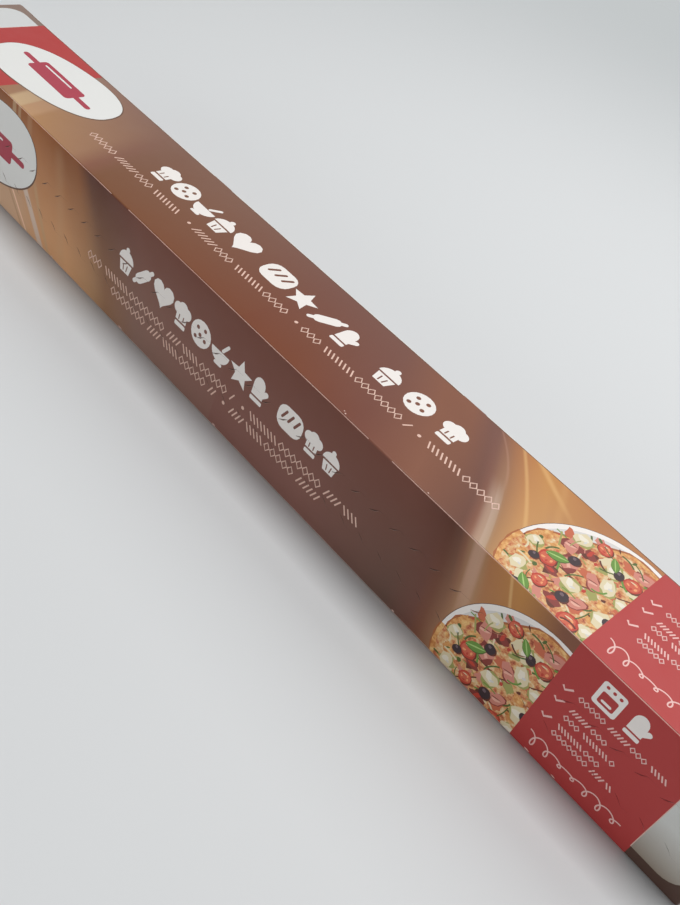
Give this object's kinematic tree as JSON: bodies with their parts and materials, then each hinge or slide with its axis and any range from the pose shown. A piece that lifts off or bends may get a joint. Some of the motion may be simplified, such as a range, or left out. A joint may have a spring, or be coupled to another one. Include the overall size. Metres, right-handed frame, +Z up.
{
  "type": "sealed carton with a roll of baking paper",
  "caption": "Long square card carton, glued shut round a roll of baking paper, with a tear strip along its front.",
  "frame": {"origin": "middle of the carton's length and depth, at its base", "axes": "+X along the carton, +Y from the front panel with the tear strip to the back, +Z up"},
  "size_m": [0.387, 0.044, 0.044],
  "materials": {
    "printed_card": "satin print"
  },
  "bodies": {
    "root": {"carton": "printed_card"}
  },
  "joints": []
}
